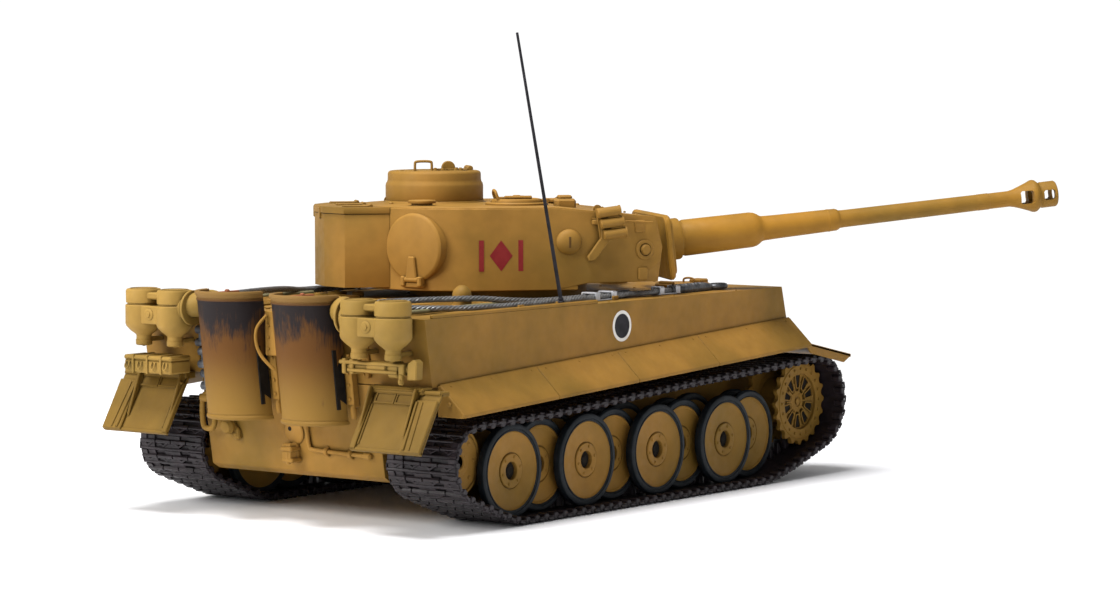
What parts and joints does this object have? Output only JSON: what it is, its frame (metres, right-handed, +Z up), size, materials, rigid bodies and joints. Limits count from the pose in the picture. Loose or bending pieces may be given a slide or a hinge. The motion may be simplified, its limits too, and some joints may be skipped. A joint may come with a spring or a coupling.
{
  "type": "radio-controlled tank",
  "caption": "Scale model of a heavy tracked tank for radio control, with turning turret, elevating gun, hinged hatches, interleaved road wheels and driven sprockets.",
  "frame": {"origin": "bottom centre of the bounding box, on the ground", "axes": "+X forward along the hull and the longest extent, +Y to the left, +Z up"},
  "size_m": [0.3048, 0.2238, 0.1695],
  "materials": {
    "hull_paint": "matt sand-yellow spray, soft shading",
    "pale_paint": "matt paler sand",
    "wheel_paint": "matt sand",
    "exhaust_paint": "matt sand with rust and soot",
    "track": "satin dark brown",
    "tyre": "matt dark rubber",
    "steel_cable": "dull steel colour",
    "motor_metal": "bright can",
    "gear_plastic": "natural nylon",
    "circuit_board": "green board",
    "battery_wrap": "shrink film",
    "black_plastic": "black",
    "marking_paint": "flat marking"
  },
  "bodies": {
    "hull": {"lower_hull": "hull_paint", "upper_hull": "hull_paint", "track_right": "track", "side_skirt_right": "hull_paint", "front_mudguard_right": "pale_paint", "rear_mudguard_right": "pale_paint", "exhaust_shroud_right": "exhaust_paint", "air_filter_right": "pale_paint", "tow_cable_right": "steel_cable", "drive_motor_right": "motor_metal", "track_left": "track", "side_skirt_left": "hull_paint", "front_mudguard_left": "pale_paint", "rear_mudguard_left": "pale_paint", "exhaust_shroud_left": "exhaust_paint", "air_filter_left": "pale_paint", "tow_cable_left": "steel_cable", "drive_motor_left": "motor_metal", "stowage_box": "pale_paint", "jack": "pale_paint", "antenna": "black_plastic", "turret_motor": "motor_metal", "control_board": "circuit_board", "battery_pack": "battery_wrap"},
    "turret": {"turret_shell": "hull_paint", "storage_bin": "hull_paint", "cupola": "hull_paint", "smoke_launcher_right": "pale_paint", "smoke_launcher_left": "pale_paint"},
    "gun": {"mantlet": "hull_paint", "gun_barrel": "hull_paint"},
    "commander_lid": {"commander_hatch": "hull_paint"},
    "loader_lid": {"loader_hatch": "hull_paint"},
    "battery_lid": {"battery_hatch": "hull_paint"},
    "switch_slider": {"power_switch": "black_plastic"},
    "turret_gear": {"turret_pinion": "gear_plastic"},
    "right_drive": {"drive_sprocket_right": "wheel_paint", "drive_gear_right": "gear_plastic"},
    "right_pinion": {"drive_pinion_right": "motor_metal"},
    "right_idler": {"idler_wheel_right": "wheel_paint"},
    "right_wheel_1": {"road_wheel_right_1": "wheel_paint"},
    "right_wheel_2": {"road_wheel_right_2": "wheel_paint"},
    "right_wheel_3": {"road_wheel_right_3": "wheel_paint"},
    "right_wheel_4": {"road_wheel_right_4": "wheel_paint"},
    "right_wheel_5": {"road_wheel_right_5": "wheel_paint"},
    "right_wheel_6": {"road_wheel_right_6": "wheel_paint"},
    "right_wheel_7": {"road_wheel_right_7": "wheel_paint"},
    "right_wheel_8": {"road_wheel_right_8": "wheel_paint"},
    "left_drive": {"drive_sprocket_left": "wheel_paint", "drive_gear_left": "gear_plastic"},
    "left_pinion": {"drive_pinion_left": "motor_metal"},
    "left_idler": {"idler_wheel_left": "wheel_paint"},
    "left_wheel_1": {"road_wheel_left_1": "wheel_paint"},
    "left_wheel_2": {"road_wheel_left_2": "wheel_paint"},
    "left_wheel_3": {"road_wheel_left_3": "wheel_paint"},
    "left_wheel_4": {"road_wheel_left_4": "wheel_paint"},
    "left_wheel_5": {"road_wheel_left_5": "wheel_paint"},
    "left_wheel_6": {"road_wheel_left_6": "wheel_paint"},
    "left_wheel_7": {"road_wheel_left_7": "wheel_paint"},
    "left_wheel_8": {"road_wheel_left_8": "wheel_paint"}
  },
  "joints": [
    {"name": "turret_yaw", "type": "hinge", "parent": "hull", "child": "turret", "pos_m": [-0.01343, 0.03489, 0.09], "axis": [0, 0, 1], "range_deg": [-73, 240]},
    {"name": "turret_pinion_spin", "type": "hinge", "parent": "hull", "child": "turret_gear", "pos_m": [-0.03803, 0.03489, 0.068], "axis": [0, 0, 1], "range_deg": [-438, 1440]},
    {"name": "gun_elevation", "type": "hinge", "parent": "turret", "child": "gun", "pos_m": [0.02147, 0.00417, 0.0903], "axis": [-0.6608, -0.7506, 0], "range_deg": [-8, 7]},
    {"name": "commander_hatch_hinge", "type": "hinge", "parent": "turret", "child": "commander_lid", "pos_m": [-0.00723, 0.05328, 0.1192], "axis": [0.6608, 0.7506, 0], "range_deg": [0, 100]},
    {"name": "loader_hatch_hinge", "type": "hinge", "parent": "turret", "child": "loader_lid", "pos_m": [-0.01341, 0.01222, 0.108], "axis": [0.6608, 0.7506, 0], "range_deg": [0, 100]},
    {"name": "battery_hatch_hinge", "type": "hinge", "parent": "hull", "child": "battery_lid", "pos_m": [-0.10517, 0.05209, 0.07425], "axis": [-1, 0, 0], "range_deg": [0, 100]},
    {"name": "power_switch_slide", "type": "slide", "parent": "hull", "child": "switch_slider", "axis": [1, 0, 0], "range_m": [-0.002, 0.002]},
    {"name": "right_sprocket_spin", "type": "hinge", "parent": "hull", "child": "right_drive", "pos_m": [0.09153, -0.02211, 0.0282], "axis": [0, 1, 0], "continuous": true},
    {"name": "right_pinion_spin", "type": "hinge", "parent": "hull", "child": "right_pinion", "pos_m": [0.08563, 0.00089, 0.033], "axis": [0, 1, 0], "continuous": true},
    {"name": "right_idler_spin", "type": "hinge", "parent": "hull", "child": "right_idler", "pos_m": [-0.11517, -0.02311, 0.0232], "axis": [0, 1, 0], "continuous": true},
    {"name": "right_wheel_1_spin", "type": "hinge", "parent": "hull", "child": "right_wheel_1", "pos_m": [-0.09047, -0.02311, 0.0183], "axis": [0, 1, 0], "continuous": true},
    {"name": "right_wheel_2_spin", "type": "hinge", "parent": "hull", "child": "right_wheel_2", "pos_m": [-0.06901, -0.02311, 0.0183], "axis": [0, 1, 0], "continuous": true},
    {"name": "right_wheel_3_spin", "type": "hinge", "parent": "hull", "child": "right_wheel_3", "pos_m": [-0.04755, -0.02311, 0.0183], "axis": [0, 1, 0], "continuous": true},
    {"name": "right_wheel_4_spin", "type": "hinge", "parent": "hull", "child": "right_wheel_4", "pos_m": [-0.02609, -0.02311, 0.0183], "axis": [0, 1, 0], "continuous": true},
    {"name": "right_wheel_5_spin", "type": "hinge", "parent": "hull", "child": "right_wheel_5", "pos_m": [-0.00463, -0.02311, 0.0183], "axis": [0, 1, 0], "continuous": true},
    {"name": "right_wheel_6_spin", "type": "hinge", "parent": "hull", "child": "right_wheel_6", "pos_m": [0.01683, -0.02311, 0.0183], "axis": [0, 1, 0], "continuous": true},
    {"name": "right_wheel_7_spin", "type": "hinge", "parent": "hull", "child": "right_wheel_7", "pos_m": [0.03829, -0.02311, 0.0183], "axis": [0, 1, 0], "continuous": true},
    {"name": "right_wheel_8_spin", "type": "hinge", "parent": "hull", "child": "right_wheel_8", "pos_m": [0.05975, -0.02311, 0.0183], "axis": [0, 1, 0], "continuous": true},
    {"name": "left_sprocket_spin", "type": "hinge", "parent": "hull", "child": "left_drive", "pos_m": [0.09153, 0.09189, 0.0282], "axis": [0, 1, 0], "continuous": true},
    {"name": "left_pinion_spin", "type": "hinge", "parent": "hull", "child": "left_pinion", "pos_m": [0.08563, 0.06889, 0.033], "axis": [0, 1, 0], "continuous": true},
    {"name": "left_idler_spin", "type": "hinge", "parent": "hull", "child": "left_idler", "pos_m": [-0.11517, 0.09289, 0.0232], "axis": [0, 1, 0], "continuous": true},
    {"name": "left_wheel_1_spin", "type": "hinge", "parent": "hull", "child": "left_wheel_1", "pos_m": [-0.09047, 0.09289, 0.0183], "axis": [0, 1, 0], "continuous": true},
    {"name": "left_wheel_2_spin", "type": "hinge", "parent": "hull", "child": "left_wheel_2", "pos_m": [-0.06901, 0.09289, 0.0183], "axis": [0, 1, 0], "continuous": true},
    {"name": "left_wheel_3_spin", "type": "hinge", "parent": "hull", "child": "left_wheel_3", "pos_m": [-0.04755, 0.09289, 0.0183], "axis": [0, 1, 0], "continuous": true},
    {"name": "left_wheel_4_spin", "type": "hinge", "parent": "hull", "child": "left_wheel_4", "pos_m": [-0.02609, 0.09289, 0.0183], "axis": [0, 1, 0], "continuous": true},
    {"name": "left_wheel_5_spin", "type": "hinge", "parent": "hull", "child": "left_wheel_5", "pos_m": [-0.00463, 0.09289, 0.0183], "axis": [0, 1, 0], "continuous": true},
    {"name": "left_wheel_6_spin", "type": "hinge", "parent": "hull", "child": "left_wheel_6", "pos_m": [0.01683, 0.09289, 0.0183], "axis": [0, 1, 0], "continuous": true},
    {"name": "left_wheel_7_spin", "type": "hinge", "parent": "hull", "child": "left_wheel_7", "pos_m": [0.03829, 0.09289, 0.0183], "axis": [0, 1, 0], "continuous": true},
    {"name": "left_wheel_8_spin", "type": "hinge", "parent": "hull", "child": "left_wheel_8", "pos_m": [0.05975, 0.09289, 0.0183], "axis": [0, 1, 0], "continuous": true}
  ],
  "couplings": [
    {"joint": "right_pinion_spin", "follows": "right_sprocket_spin", "ratio": -2.2174},
    {"joint": "right_idler_spin", "follows": "right_sprocket_spin", "ratio": 1.3228},
    {"joint": "right_wheel_1_spin", "follows": "right_sprocket_spin", "ratio": 1.0182},
    {"joint": "right_wheel_2_spin", "follows": "right_sprocket_spin", "ratio": 1.0182},
    {"joint": "right_wheel_3_spin", "follows": "right_sprocket_spin", "ratio": 1.0182},
    {"joint": "right_wheel_4_spin", "follows": "right_sprocket_spin", "ratio": 1.0182},
    {"joint": "right_wheel_5_spin", "follows": "right_sprocket_spin", "ratio": 1.0182},
    {"joint": "right_wheel_6_spin", "follows": "right_sprocket_spin", "ratio": 1.0182},
    {"joint": "right_wheel_7_spin", "follows": "right_sprocket_spin", "ratio": 1.0182},
    {"joint": "right_wheel_8_spin", "follows": "right_sprocket_spin", "ratio": 1.0182},
    {"joint": "left_pinion_spin", "follows": "left_sprocket_spin", "ratio": -2.2174},
    {"joint": "left_idler_spin", "follows": "left_sprocket_spin", "ratio": 1.3228},
    {"joint": "left_wheel_1_spin", "follows": "left_sprocket_spin", "ratio": 1.0182},
    {"joint": "left_wheel_2_spin", "follows": "left_sprocket_spin", "ratio": 1.0182},
    {"joint": "left_wheel_3_spin", "follows": "left_sprocket_spin", "ratio": 1.0182},
    {"joint": "left_wheel_4_spin", "follows": "left_sprocket_spin", "ratio": 1.0182},
    {"joint": "left_wheel_5_spin", "follows": "left_sprocket_spin", "ratio": 1.0182},
    {"joint": "left_wheel_6_spin", "follows": "left_sprocket_spin", "ratio": 1.0182},
    {"joint": "left_wheel_7_spin", "follows": "left_sprocket_spin", "ratio": 1.0182},
    {"joint": "left_wheel_8_spin", "follows": "left_sprocket_spin", "ratio": 1.0182},
    {"joint": "turret_pinion_spin", "follows": "turret_yaw", "ratio": 6}
  ]
}
